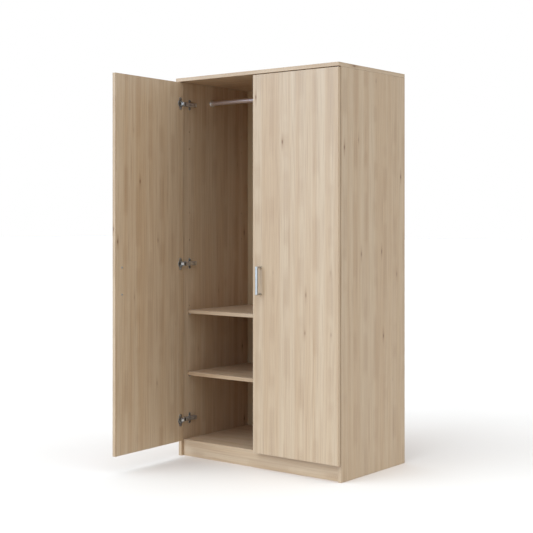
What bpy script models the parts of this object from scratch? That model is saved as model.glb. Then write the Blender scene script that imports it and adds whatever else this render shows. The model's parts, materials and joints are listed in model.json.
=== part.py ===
"""A two-door wardrobe in 18 mm board, with concealed hinges, loose shelves and a hanging rail.

The frame is in metres, +Z up, +X to the right of someone who faces the doors, which face -Y. The origin
is on the floor, under the middle of the cabinet's width and depth. The left door stands open and the
right one is shut. A door hangs on three concealed hinges: their links turn on arms that are fixed to the
cabinet, and their cups, let into the door, turn on the links. So two pivots on each side carry the door.
"""

import math

import bmesh
import bpy
from mathutils import Matrix, Vector

# Cabinet
WIDTH = 1.000
DEPTH = 0.570
HEIGHT = 1.910
BOARD = 0.018
CLEAR = 0.0003  # between faces that touch
EDGE_ROUND = 0.0006  # on the banded edges
OVERSHOOT = 0.010  # of a cutter past the face that it opens
FRONT = -DEPTH / 2  # the plane of the shut doors' faces and of the top's front edge
REAR = DEPTH / 2
CARCASS_FRONT = 0.021  # how far the sides' front edges lie behind the front plane
PLINTH_HEIGHT = 0.082
PLINTH_SETBACK = 0.036
REAR_PLINTH_SETBACK = 0.018
BACK_SHEET = 0.003
BACK_INSET = 0.014  # from the rear edges to the sheet
GROOVE_DEPTH = 0.008

# Shelves and their pins
SHELF_TOPS = {"upper": 0.7355, "lower": 0.4208}
SHELF_SETBACK = 0.069
SHELF_END_GAP = 0.001
PIN_LINES = {"front": 0.081, "rear": 0.500}  # behind the front plane
PIN_RADIUS = 0.0024
PIN_BORE_RADIUS = 0.0027
PIN_BORE_DEPTH = 0.0083
PIN_HEAD_RADIUS = 0.004
PIN_HEAD_LENGTH = 0.010

# Hanging rail
RAIL_RADIUS = 0.0125
RAIL_WALL = 0.0012
RAIL_HEIGHT = 1.8025
RAIL_SETBACK = 0.257
SOCKET_RADIUS = 0.018
SOCKET_COLLAR_RADIUS = 0.0152
SOCKET_FLANGE = 0.003
SOCKET_CHAMFER = 0.001
SOCKET_LENGTH = 0.012

# Doors, handles and their screws
DOOR_REVEAL = 0.0015  # at each upright edge
DOOR_WIDTH = WIDTH / 2 - 2 * DOOR_REVEAL
DOOR_BOTTOM = 0.0785
DOOR_TOP = 1.888
HANDLE_HEIGHT = 0.904
HANDLE_FROM_EDGE = 0.0465
HANDLE_CENTRES = 0.128
HANDLE_BAR = 0.008  # thickness of the bar and of its two posts
HANDLE_WIDTH = 0.0125
HANDLE_REACH = 0.033
HANDLE_ROUND = 0.001
SCREW_RADIUS = 0.002
SCREW_BORE_RADIUS = 0.0024
SCREW_IN_POST = 0.012
SCREW_HEAD_RADIUS = 0.0045
SCREW_HEAD = 0.0022
SCREW_HEAD_EDGE = 0.00121  # height of the head's rim, below its crown
SCREW_CROWN_RADIUS = 0.00315
SCREW_BORE_SPARE = 0.001  # below the screw's end

# Hinges. "Inward" is measured from the outer face of the side that carries the hinge.
HINGE_HEIGHTS = {"top": 1.781, "middle": 0.972, "bottom": 0.1835}
CUP_INWARD = 0.024
CUP_RADIUS = 0.0175
CUP_WALL = 0.001
CUP_DEPTH = 0.0117
CUP_BORE_SPARE = 0.0004
CUP_RIM_RADIUS = 0.0195
CUP_FLANGE = (0.021, 0.062, 0.0012)  # wide, tall, thick
CUP_PIVOT = (0.0125, 0.015)  # inward, behind the front plane, with the door shut
OPEN_FACE_INWARD = 0.0355  # where the door's inner face stands at a right angle
OPEN_EDGE_BACK = 0.018  # and its hinge edge, behind the front plane
LINK_LENGTH = 0.022
LINK_BULGE = 0.012
LINK_THICK = 0.0024
LINK_TALL = 0.012
LINK_BOSS_TALL = 0.0116
LINK_BOSS_RADIUS = 0.0026
PIVOT_PIN_RADIUS = 0.0015
PIVOT_BORE_RADIUS = 0.0018
CUP_PIN_LENGTH = 0.0186
ARM_PIN_LENGTH = 0.0186
ARM_TALL = 0.019
ARM_INWARD = (0.0215, 0.0365)
ARM_BACK = (0.036, 0.118)
ARM_WALL = 0.0015
ARM_ROUND = 0.0008
CHEEK_BACK = 0.0245
CHEEK_INWARD = (0.024, 0.0355)
CHEEK_LAP = 0.004  # of the cheeks over the channel behind them
MOUTH_LAP = 0.006  # of the opening between the cheeks into the channel
PLATE_WINGS = (0.014, 0.056)
PLATE_SPINE = (0.060, 0.114, 0.018)  # from, to, tall
PLATE_THICK = 0.0025
PLATE_ROUND = 0.0005
SPINE_THICK = 0.0024
PLATE_BLOCK = (0.064, 0.112, 0.013)  # from, to, tall
BLOCK_SINK = 0.001  # of the block into the spine
DOOR_ANGLES = {"left": 87.5, "right": 0.0}  # how far each door stands open, in degrees

SIDES = {"left": -1, "right": 1}
ROUND_STEPS = 24
SMALL_STEPS = 12  # round pins, bores and screws, and along a link's arch
SMOOTH_BELOW = 35  # degrees between two faces that are shaded as one


def clear_scene():
    for old in list(bpy.data.objects):
        bpy.data.objects.remove(old, do_unlink=True)


def new_collection(name, hidden=False):
    made = bpy.data.collections.new(name)
    made.hide_render = hidden
    bpy.context.scene.collection.children.link(made)
    return made


def new_material(name, colour, roughness, metallic=0.0):
    made = bpy.data.materials.new(name)
    made.use_nodes = True
    shader = made.node_tree.nodes["Principled BSDF"]
    shader.inputs["Base Color"].default_value = (*colour, 1.0)
    shader.inputs["Roughness"].default_value = roughness
    shader.inputs["Metallic"].default_value = metallic
    return made


clear_scene()
PARTS = new_collection("wardrobe")
CUTTERS = new_collection("wardrobe_cutters", hidden=True)
BOARD_FINISH = new_material("pale_beech_board", (0.53, 0.42, 0.31), 0.5)
BACK_FINISH = new_material("beech_hardboard", (0.48, 0.38, 0.28), 0.6)
STEEL = new_material("nickelled_steel", (0.60, 0.58, 0.55), 0.3, 1.0)
SATIN = new_material("satin_handle_metal", (0.72, 0.71, 0.69), 0.35, 1.0)
CHROME = new_material("chromed_tube", (0.62, 0.61, 0.60), 0.2, 1.0)


def add_object(name, mesh, place, finish=None):
    """An object in the parts, or among the cutters when it has no finish."""
    made = bpy.data.objects.new(name, mesh)
    made.location = place
    if finish is None:
        CUTTERS.objects.link(made)
        made.hide_render = True
        made.display_type = "WIRE"
    else:
        PARTS.objects.link(made)
        mesh.materials.append(finish)
    return made


def box(name, low, high, finish=None, rounding=0.0):
    """A box between two corners, with its origin at its middle."""
    low, high = Vector(low), Vector(high)
    shape = bmesh.new()
    bmesh.ops.create_cube(shape, size=1.0, matrix=Matrix.Diagonal((*(high - low), 1.0)))
    mesh = bpy.data.meshes.new(name)
    shape.to_mesh(mesh)
    shape.free()
    made = add_object(name, mesh, (low + high) / 2, finish)
    if rounding:
        bevel = made.modifiers.new("edge_round", "BEVEL")
        bevel.width = rounding
        bevel.segments = 1
    return made


def cylinder(name, place, radius, length, axis="Z", finish=None, steps=ROUND_STEPS):
    """A cylinder about a middle point, along one axis."""
    shape = bmesh.new()
    bmesh.ops.create_cone(
        shape, cap_ends=True, segments=steps, radius1=radius, radius2=radius, depth=length
    )
    mesh = bpy.data.meshes.new(name)
    shape.to_mesh(mesh)
    shape.free()
    mesh.transform(turn_to(axis))
    made = add_object(name, mesh, place, finish)
    shade(mesh)
    return made


def turn_to(axis):
    """The rotation that takes +Z to an axis such as "X" or "-Y"."""
    target = Vector([float(letter in axis) for letter in "XYZ"])
    if axis.startswith("-"):
        target.negate()
    return Vector((0, 0, 1)).rotation_difference(target).to_matrix().to_4x4()


def shade(mesh):
    mesh.shade_smooth()
    mesh.set_sharp_from_angle(angle=math.radians(SMOOTH_BELOW))


def turned(name, profile, place, axis, finish, ring=False, steps=ROUND_STEPS):
    """A profile of (radius, height) points, run down its outer side, and turned about an axis."""
    shape = bmesh.new()
    line = [shape.verts.new((radius, 0.0, height)) for radius, height in profile]
    for first, second in zip(line, line[1:]):
        shape.edges.new((first, second))
    if ring:
        shape.edges.new((line[-1], line[0]))
    mesh = bpy.data.meshes.new(name)
    shape.to_mesh(mesh)
    shape.free()
    made = add_object(name, mesh, place, finish)
    made.rotation_euler = turn_to(axis).to_euler()
    screw = made.modifiers.new("turn", "SCREW")
    screw.steps = steps
    screw.render_steps = steps
    screw.use_merge_vertices = True
    screw.merge_threshold = 0.00001
    screw.use_smooth_shade = False
    return made


def outline_solid(name, points, thickness, frame, place, finish):
    """A flat outline given its thickness by a filled curve, then made a mesh and turned into place."""
    drawing = bpy.data.curves.new(name + "_outline", "CURVE")
    drawing.dimensions = "2D"
    drawing.fill_mode = "BOTH"
    drawing.extrude = thickness / 2
    line = drawing.splines.new("POLY")
    line.points.add(len(points) - 1)
    for corner, (x, y) in zip(line.points, points):
        corner.co = (x, y, 0.0, 1.0)
    line.use_cyclic_u = True
    drawn = bpy.data.objects.new(name + "_outline", drawing)
    bpy.context.scene.collection.objects.link(drawn)
    graph = bpy.context.evaluated_depsgraph_get()
    mesh = bpy.data.meshes.new_from_object(drawn.evaluated_get(graph))
    bpy.data.objects.remove(drawn, do_unlink=True)
    mesh.transform(frame)
    shape = bmesh.new()
    shape.from_mesh(mesh)
    bmesh.ops.remove_doubles(shape, verts=shape.verts, dist=0.00001)
    bmesh.ops.recalc_face_normals(shape, faces=shape.faces)
    shape.to_mesh(mesh)
    shape.free()
    mesh.materials.clear()
    return add_object(name, mesh, place, finish)


def combine(target, other, operation="DIFFERENCE"):
    """A Boolean with a hidden shape."""
    change = target.modifiers.new(operation.lower() + "_" + other.name, "BOOLEAN")
    change.operation = operation
    change.object = other
    return other


def spot(side, inward, back, height):
    """A point given from a side's outer face, from the front plane and from the floor."""
    return Vector((SIDES[side] * (WIDTH / 2 - inward), FRONT + back, height))


def corners(first, second):
    """The low and the high corner of the box between two points."""
    low = [min(pair) for pair in zip(first, second)]
    high = [max(pair) for pair in zip(first, second)]
    return low, high


INNER = WIDTH / 2 - BOARD  # half the clear width
BACK_FACE = REAR - BACK_INSET - BACK_SHEET
TOP_UNDERSIDE = HEIGHT - BOARD
DECK_UNDERSIDE = PLINTH_HEIGHT - BOARD


def make_side(side):
    """A side panel, with the groove for the back sheet and the bores for four shelf pins."""
    low, high = corners(
        spot(side, 0.0, CARCASS_FRONT, 0.0), spot(side, BOARD, DEPTH, TOP_UNDERSIDE - CLEAR)
    )
    panel = box("side_panel_" + side, low, high, BOARD_FINISH, EDGE_ROUND)
    low, high = corners(
        spot(side, BOARD - GROOVE_DEPTH, BACK_FACE - FRONT - CLEAR, -OVERSHOOT),
        spot(side, BOARD + OVERSHOOT, BACK_FACE + BACK_SHEET - FRONT + CLEAR, HEIGHT),
    )
    combine(panel, box("cut_side_groove_" + side, low, high))
    for row, top in SHELF_TOPS.items():
        for line, back in PIN_LINES.items():
            middle = spot(side, BOARD, back, pin_height(top))
            bore = cylinder(
                f"cut_pin_bore_{row}_{line}_{side}",
                middle,
                PIN_BORE_RADIUS,
                2 * PIN_BORE_DEPTH,
                "X",
                steps=SMALL_STEPS,
            )
            combine(panel, bore)
    return panel


def pin_height(shelf_top):
    return shelf_top - BOARD - CLEAR - PIN_HEAD_RADIUS


def make_top():
    panel = box(
        "top_panel",
        (-WIDTH / 2, FRONT, TOP_UNDERSIDE),
        (WIDTH / 2, REAR, HEIGHT),
        BOARD_FINISH,
        EDGE_ROUND,
    )
    reach = INNER + GROOVE_DEPTH
    low = (-reach, BACK_FACE - CLEAR, TOP_UNDERSIDE - OVERSHOOT)
    high = (reach, BACK_FACE + BACK_SHEET + CLEAR, TOP_UNDERSIDE + GROOVE_DEPTH)
    combine(panel, box("cut_top_groove", low, high))
    return panel


def make_deck():
    """The bottom panel, butted behind the plinth board whose top edge is flush with it."""
    half = INNER - CLEAR
    front = FRONT + PLINTH_SETBACK + BOARD + CLEAR
    panel = box(
        "bottom_panel",
        (-half, front, DECK_UNDERSIDE),
        (half, REAR, PLINTH_HEIGHT),
        BOARD_FINISH,
        EDGE_ROUND,
    )
    low = (-INNER - OVERSHOOT, BACK_FACE - CLEAR, PLINTH_HEIGHT - GROOVE_DEPTH)
    high = (INNER + OVERSHOOT, BACK_FACE + BACK_SHEET + CLEAR, PLINTH_HEIGHT + OVERSHOOT)
    combine(panel, box("cut_bottom_groove", low, high))
    return panel


def make_base():
    """The plinth board, its rear twin and the rail between them under the bottom panel."""
    half = INNER - CLEAR
    front = FRONT + PLINTH_SETBACK
    rear = REAR - REAR_PLINTH_SETBACK
    under = DECK_UNDERSIDE - CLEAR
    box(
        "plinth_front",
        (-half, front, 0.0),
        (half, front + BOARD, PLINTH_HEIGHT),
        BOARD_FINISH,
        EDGE_ROUND,
    )
    box("plinth_rear", (-half, rear - BOARD, 0.0), (half, rear, under), BOARD_FINISH, EDGE_ROUND)
    box(
        "plinth_centre_rail",
        (-BOARD / 2, front + BOARD + CLEAR, 0.0),
        (BOARD / 2, rear - BOARD - CLEAR, under),
        BOARD_FINISH,
        EDGE_ROUND,
    )


def make_back():
    """The thin back sheet, held in the grooves all round."""
    half = INNER + GROOVE_DEPTH - 2 * CLEAR
    low = (-half, BACK_FACE, PLINTH_HEIGHT - GROOVE_DEPTH + 2 * CLEAR)
    high = (half, BACK_FACE + BACK_SHEET, TOP_UNDERSIDE + GROOVE_DEPTH - 2 * CLEAR)
    box("back_panel", low, high, BACK_FINISH)


def make_shelf(row, top):
    """A loose shelf and the four pins that it rests on."""
    half = INNER - SHELF_END_GAP
    low = (-half, FRONT + SHELF_SETBACK, top - BOARD)
    high = (half, BACK_FACE - 2 * SHELF_END_GAP, top)
    box("shelf_" + row, low, high, BOARD_FINISH, EDGE_ROUND)
    for side in SIDES:
        for line, back in PIN_LINES.items():
            shank = PIN_BORE_DEPTH - 2 * CLEAR
            profile = [
                (0.0, PIN_HEAD_LENGTH),
                (PIN_HEAD_RADIUS, PIN_HEAD_LENGTH),
                (PIN_HEAD_RADIUS, CLEAR),
                (PIN_RADIUS, CLEAR),
                (PIN_RADIUS, -shank),
                (0.0, -shank),
            ]
            place = spot(side, BOARD, back, pin_height(top))
            towards_middle = "X" if side == "left" else "-X"
            name = f"shelf_pin_{row}_{line}_{side}"
            turned(name, profile, place, towards_middle, STEEL, steps=SMALL_STEPS)


def make_rail():
    """The tube and the two sockets that hold its ends."""
    half = INNER - SOCKET_FLANGE - 2 * CLEAR
    profile = [
        (RAIL_RADIUS, half),
        (RAIL_RADIUS, -half),
        (RAIL_RADIUS - RAIL_WALL, -half),
        (RAIL_RADIUS - RAIL_WALL, half),
    ]
    middle = (0.0, FRONT + RAIL_SETBACK, RAIL_HEIGHT)
    turned("hanging_rail", profile, middle, "X", CHROME, ring=True)
    hollow = RAIL_RADIUS + CLEAR
    for side in SIDES:
        profile = [
            (0.0, SOCKET_FLANGE),
            (hollow, SOCKET_FLANGE),
            (hollow, SOCKET_LENGTH),
            (SOCKET_COLLAR_RADIUS, SOCKET_LENGTH),
            (SOCKET_COLLAR_RADIUS, SOCKET_FLANGE),
            (SOCKET_RADIUS, SOCKET_FLANGE - SOCKET_CHAMFER),
            (SOCKET_RADIUS, CLEAR),
            (0.0, CLEAR),
        ]
        place = spot(side, BOARD, RAIL_SETBACK, RAIL_HEIGHT)
        towards_middle = "X" if side == "left" else "-X"
        turned("rail_socket_" + side, profile, place, towards_middle, CHROME)


def link_motion():
    """The arm's pivot and the link's two angles, shut and with the door at a right angle.

    Plane coordinates are (inward, back). The cup's pivot has two known places, and the arm's pivot is
    on the perpendicular bisector of the line between them, a link's length from both.
    """
    shut = Vector(CUP_PIVOT)
    past_face = BOARD - CUP_PIVOT[1]
    from_edge = CUP_PIVOT[0] - DOOR_REVEAL
    swung = Vector((OPEN_FACE_INWARD - past_face, OPEN_EDGE_BACK - from_edge))
    chord = swung - shut
    across = Vector((-chord.y, chord.x)).normalized()
    arm_pivot = (shut + swung) / 2 + across * math.sqrt(LINK_LENGTH**2 - chord.length_squared / 4)
    angles = [math.atan2(*reversed(place - arm_pivot)) for place in (shut, swung)]
    return arm_pivot, *angles


def make_pivots(side):
    """Empties on the two pivot axes, turned to the angle that the door stands at."""
    arm_pivot, shut_angle, swung_angle = link_motion()
    opened = DOOR_ANGLES[side] / 90
    link_turn = (swung_angle - shut_angle) * opened
    door_turn = -math.radians(DOOR_ANGLES[side]) - link_turn
    mirror = -SIDES[side]
    links = bpy.data.objects.new("links_pivot_" + side, None)
    door = bpy.data.objects.new("door_pivot_" + side, None)
    links.location = spot(side, *arm_pivot, 0.0)
    door.location = spot(side, *CUP_PIVOT, 0.0) - links.location
    links.rotation_euler.z = mirror * link_turn
    door.rotation_euler.z = mirror * door_turn
    door.parent = links
    for pivot in (links, door):
        PARTS.objects.link(pivot)
    return links, door


def hang(pivot, shut_pivot_place, *made):
    """Parents objects that were placed with the door shut to a pivot."""
    for one in made:
        one.parent = pivot
        one.location = Vector(one.location) - shut_pivot_place


def make_door(side):
    """A door panel with three cup bores and two screw bores, and the shapes that cut them."""
    low, high = corners(
        spot(side, DOOR_REVEAL, 0.0, DOOR_BOTTOM),
        spot(side, DOOR_REVEAL + DOOR_WIDTH, BOARD, DOOR_TOP),
    )
    panel = box("door_" + side, low, high, BOARD_FINISH, EDGE_ROUND)
    made = [panel]
    for level, height in HINGE_HEIGHTS.items():
        bore = cylinder(
            f"cut_cup_bore_{level}_{side}",
            spot(side, CUP_INWARD, BOARD, height),
            CUP_RADIUS + CUP_BORE_SPARE,
            2 * (CUP_DEPTH + CUP_BORE_SPARE),
            "Y",
        )
        made.append(combine(panel, bore))
    for end, place in handle_posts(side).items():
        bore = cylinder(
            f"cut_screw_bore_{end}_{side}", place, SCREW_BORE_RADIUS, 3 * BOARD, "Y", steps=SMALL_STEPS
        )
        made.append(combine(panel, bore))
    return made


def handle_posts(side):
    """Where the two posts' axes meet the door's outer face."""
    inward = DOOR_REVEAL + DOOR_WIDTH - HANDLE_FROM_EDGE
    half = HANDLE_CENTRES / 2
    return {
        "top": spot(side, inward, 0.0, HANDLE_HEIGHT + half),
        "bottom": spot(side, inward, 0.0, HANDLE_HEIGHT - half),
    }


def make_handle(side):
    """A bow handle cut from one outline, and the screws that reach it through the door."""
    posts = handle_posts(side)
    outer = (HANDLE_CENTRES + HANDLE_BAR) / 2
    inner = outer - HANDLE_BAR
    reach, grip = HANDLE_REACH, HANDLE_REACH - HANDLE_BAR
    outline = [
        (CLEAR, -outer),
        (reach, -outer),
        (reach, outer),
        (CLEAR, outer),
        (CLEAR, inner),
        (grip, inner),
        (grip, -inner),
        (CLEAR, -inner),
    ]
    outwards_and_up = Matrix(((0, 0, 1, 0), (-1, 0, 0, 0), (0, 1, 0, 0), (0, 0, 0, 1)))
    place = (posts["top"] + posts["bottom"]) / 2
    handle = outline_solid(
        "handle_" + side, outline, HANDLE_WIDTH, outwards_and_up, place, SATIN
    )
    bevel = handle.modifiers.new("edge_round", "BEVEL")
    bevel.width = HANDLE_ROUND
    bevel.segments = 1
    made = [handle]
    for end, post in posts.items():
        bore = cylinder(
            f"cut_post_bore_{end}_{side}",
            post,
            SCREW_BORE_RADIUS,
            2 * (SCREW_IN_POST + SCREW_BORE_SPARE),
            "Y",
            steps=SMALL_STEPS,
        )
        made.append(combine(handle, bore))
        seat = BOARD + CLEAR
        profile = [
            (0.0, seat + SCREW_HEAD),
            (SCREW_CROWN_RADIUS, seat + SCREW_HEAD),
            (SCREW_HEAD_RADIUS, seat + SCREW_HEAD_EDGE),
            (SCREW_HEAD_RADIUS, seat),
            (SCREW_RADIUS, seat),
            (SCREW_RADIUS, -SCREW_IN_POST),
            (0.0, -SCREW_IN_POST),
        ]
        made.append(
            turned(f"handle_screw_{end}_{side}", profile, post, "Y", STEEL, steps=SMALL_STEPS)
        )
    return made


def make_cup(side, level, height):
    """The cup that is pressed into the door, with its rim and screw flange on the inner face."""
    bottom = BOARD - CUP_DEPTH
    proud = BOARD + CLEAR
    wide, tall, thick = CUP_FLANGE
    face = proud + thick
    profile = [
        (0.0, face),
        (CUP_RIM_RADIUS, face),
        (CUP_RIM_RADIUS, proud),
        (CUP_RADIUS, proud),
        (CUP_RADIUS, bottom),
        (0.0, bottom),
    ]
    name = f"hinge_{level}_{side}_cup"
    axis_place = spot(side, CUP_INWARD, 0.0, height)
    cup = turned(name, profile, axis_place, "Y", STEEL)
    low, high = corners(
        spot(side, CUP_INWARD - wide / 2, proud, height - tall / 2),
        spot(side, CUP_INWARD + wide / 2, face, height + tall / 2),
    )
    flange = combine(cup, box("add_flange_" + name, low, high), "UNION")
    hollow = cylinder(
        "cut_hollow_" + name,
        spot(side, CUP_INWARD, bottom + CUP_WALL + BOARD, height),
        CUP_RADIUS - CUP_WALL,
        2 * BOARD,
        "Y",
    )
    combine(cup, hollow)
    return [cup, flange, hollow]


def link_outline():
    """An arched strip from the arm's pivot at the origin to the cup's pivot on +X."""
    half = LINK_LENGTH / 2
    radius = (half**2 + LINK_BULGE**2) / (2 * LINK_BULGE)
    centre = Vector((half, LINK_BULGE - radius))
    start = math.atan2(-centre.y, -half)
    sweep = math.atan2(-centre.y, half) - start
    if sweep > 0:
        sweep -= 2 * math.pi
    out = range(SMALL_STEPS + 1)
    outline = []
    for reach, order in (
        (radius + LINK_THICK / 2, out),
        (radius - LINK_THICK / 2, reversed(out)),
    ):
        for step in order:
            angle = start + sweep * step / SMALL_STEPS
            outline.append((centre.x + reach * math.cos(angle), centre.y + reach * math.sin(angle)))
    return outline


def make_link(side, level, height):
    """The arched link with the pivot pins that are riveted into its two ends."""
    arm_pivot, shut_angle, _ = link_motion()
    mirror = -SIDES[side]
    frame = Matrix.Diagonal((mirror, 1, 1, 1)) @ Matrix.Rotation(shut_angle, 4, "Z")
    name = f"hinge_{level}_{side}_link"
    place = spot(side, *arm_pivot, height)
    link = outline_solid(name, link_outline(), LINK_TALL, frame, place, STEEL)
    made = [link]
    for end, inward_back, pin_length in (
        ("arm", arm_pivot, ARM_PIN_LENGTH),
        ("cup", CUP_PIVOT, CUP_PIN_LENGTH),
    ):
        middle = spot(side, *inward_back, height)
        boss_name = f"add_{end}_boss_{name}"
        boss = cylinder(boss_name, middle, LINK_BOSS_RADIUS, LINK_BOSS_TALL, steps=SMALL_STEPS)
        made.append(combine(link, boss, "UNION"))
        pin_name = f"add_{end}_pin_{name}"
        pin = cylinder(pin_name, middle, PIVOT_PIN_RADIUS, pin_length, steps=SMALL_STEPS)
        made.append(combine(link, pin, "UNION"))
    return made


def make_arm(side, level, height):
    """The channel-shaped arm on the cabinet, with two cheeks in front that hold the link's pin."""
    arm_pivot, _, _ = link_motion()
    name = f"hinge_{level}_{side}_arm"
    half = ARM_TALL / 2
    low, high = corners(
        spot(side, ARM_INWARD[0], ARM_BACK[0], height - half),
        spot(side, ARM_INWARD[1], ARM_BACK[1], height + half),
    )
    arm = box(name, low, high, STEEL, ARM_ROUND)
    low, high = corners(
        spot(side, CHEEK_INWARD[0], CHEEK_BACK, height - half),
        spot(side, CHEEK_INWARD[1], ARM_BACK[0] + CHEEK_LAP, height + half),
    )
    combine(arm, box("add_cheeks_" + name, low, high), "UNION")
    web = half - ARM_WALL
    low, high = corners(
        spot(side, ARM_INWARD[0] - OVERSHOOT, CHEEK_BACK - OVERSHOOT, height - web),
        spot(side, ARM_INWARD[1] - ARM_WALL, ARM_BACK[1] - ARM_WALL, height + web),
    )
    combine(arm, box("cut_channel_" + name, low, high))
    low, high = corners(
        spot(side, ARM_INWARD[0] - 2 * OVERSHOOT, CHEEK_BACK - 2 * OVERSHOOT, height - web),
        spot(side, ARM_INWARD[1] + OVERSHOOT, ARM_BACK[0] + MOUTH_LAP, height + web),
    )
    combine(arm, box("cut_mouth_" + name, low, high))
    pin_bore = cylinder(
        "cut_pin_bore_" + name,
        spot(side, *arm_pivot, height),
        PIVOT_BORE_RADIUS,
        2 * ARM_TALL,
        steps=SMALL_STEPS,
    )
    combine(arm, pin_bore)
    return arm


def make_plate(side, level, height):
    """The cross-shaped mounting plate on the side panel, with the block that the arm is fixed to."""
    name = f"hinge_{level}_{side}_plate"
    wing_wide, wing_tall = PLATE_WINGS
    line = PIN_LINES["front"]
    seat = BOARD + CLEAR
    face = seat + PLATE_THICK
    low, high = corners(
        spot(side, seat, line - wing_wide / 2, height - wing_tall / 2),
        spot(side, face, line + wing_wide / 2, height + wing_tall / 2),
    )
    plate = box(name, low, high, STEEL, PLATE_ROUND)
    spine_from, spine_to, spine_tall = PLATE_SPINE
    low, high = corners(
        spot(side, seat, spine_from, height - spine_tall / 2),
        spot(side, seat + SPINE_THICK, spine_to, height + spine_tall / 2),
    )
    combine(plate, box("add_spine_" + name, low, high), "UNION")
    block_from, block_to, block_tall = PLATE_BLOCK
    low, high = corners(
        spot(side, seat + BLOCK_SINK, block_from, height - block_tall / 2),
        spot(side, ARM_INWARD[1] - ARM_WALL - CLEAR, block_to, height + block_tall / 2),
    )
    combine(plate, box("add_block_" + name, low, high), "UNION")
    return plate


def make_hung_side(side):
    """A door with its handle and cups on the door's pivot, and the links on the arms' pivot."""
    links_pivot, door_pivot = make_pivots(side)
    arm_pivot, _, _ = link_motion()
    arm_place = spot(side, *arm_pivot, 0.0)
    cup_place = spot(side, *CUP_PIVOT, 0.0)
    hang(door_pivot, cup_place, *make_door(side), *make_handle(side))
    for level, height in HINGE_HEIGHTS.items():
        hang(door_pivot, cup_place, *make_cup(side, level, height))
        hang(links_pivot, arm_place, *make_link(side, level, height))
        make_arm(side, level, height)
        make_plate(side, level, height)


for side in SIDES:
    make_side(side)
make_top()
make_deck()
make_base()
make_back()
for row, top in SHELF_TOPS.items():
    make_shelf(row, top)
make_rail()
for side in SIDES:
    make_hung_side(side)
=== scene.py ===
# %% [markdown]
# # A two-door wardrobe in pale woodgrain board
#
# The working model of this wardrobe is already made: plain solids in the right places, on the right
# joints. This lesson gives each of them the surface that the real piece has. A flat-pack wardrobe is a
# good subject to learn on, because nearly all of it is one thing, an 18 mm board, seen many times over.
# So most of the work is one good board and one good woodgrain, and then the small metal pieces that
# make it more than a box.
#
# The frame is in metres, +Z is up, and the shut doors face -Y.

# %% Load the working model
import json
import math

import bmesh
import bpy
from mathutils import Matrix, Vector


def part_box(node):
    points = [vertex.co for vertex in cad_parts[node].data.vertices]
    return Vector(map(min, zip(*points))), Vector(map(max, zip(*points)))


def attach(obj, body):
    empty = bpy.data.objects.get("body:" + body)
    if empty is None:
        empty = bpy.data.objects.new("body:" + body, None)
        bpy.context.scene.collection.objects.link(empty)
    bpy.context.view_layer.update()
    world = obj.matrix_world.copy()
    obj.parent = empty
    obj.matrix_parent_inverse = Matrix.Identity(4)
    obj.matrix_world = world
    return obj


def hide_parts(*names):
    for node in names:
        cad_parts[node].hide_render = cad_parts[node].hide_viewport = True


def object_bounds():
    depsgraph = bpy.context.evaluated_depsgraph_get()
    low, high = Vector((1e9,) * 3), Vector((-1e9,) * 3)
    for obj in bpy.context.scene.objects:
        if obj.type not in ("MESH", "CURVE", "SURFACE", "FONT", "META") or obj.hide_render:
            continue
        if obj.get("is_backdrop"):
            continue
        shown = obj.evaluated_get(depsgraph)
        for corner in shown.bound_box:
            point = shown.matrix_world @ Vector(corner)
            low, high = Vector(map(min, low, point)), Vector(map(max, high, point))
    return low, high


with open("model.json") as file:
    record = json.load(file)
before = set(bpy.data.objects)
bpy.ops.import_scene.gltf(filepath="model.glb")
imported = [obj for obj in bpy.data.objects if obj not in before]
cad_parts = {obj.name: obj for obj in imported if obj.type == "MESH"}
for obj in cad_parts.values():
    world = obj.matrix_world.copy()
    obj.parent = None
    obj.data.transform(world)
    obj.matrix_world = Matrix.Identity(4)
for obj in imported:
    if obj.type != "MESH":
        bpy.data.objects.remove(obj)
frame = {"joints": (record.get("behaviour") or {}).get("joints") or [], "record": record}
cad_low, cad_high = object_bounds()
print("whole size", [round(side, 4) for side in cad_high - cad_low])

# %% [markdown]
# ## Camera
#
# The camera stands at chest height and level, so that upright edges stay upright on the page.
# A level camera would cut off the floor, and tilting it would make the sides lean, so the lens is
# shifted down a little instead, the way an architect's view camera does it.

# %% Make the camera
EYE = (3.4354, -4.5245, 1.1909)
TURN_TO_LEFT = math.radians(38.32)
LENS = 76.9
SHIFT_DOWN = 0.0862

camera = bpy.data.objects.new("camera", bpy.data.cameras.new("camera"))
camera.location = EYE
camera.rotation_euler = (math.radians(90), 0, TURN_TO_LEFT)
camera.data.lens = LENS
camera.data.shift_y = -SHIFT_DOWN
bpy.context.scene.collection.objects.link(camera)
bpy.context.scene.camera = camera
bpy.context.scene.view_settings.view_transform = "Standard"
print("camera stands", round(Vector(EYE).length, 2), "m from the middle of the floor")

# %% [markdown]
# ## Wiring shader nodes
#
# A node material is a formula drawn as boxes and wires. Typing every box and wire by hand hides the
# formula, so this small class places a node, sets its inputs and hands back its output. With it a mix
# of noises reads like a line of arithmetic. An input can be a number, a colour or another output.

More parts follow.
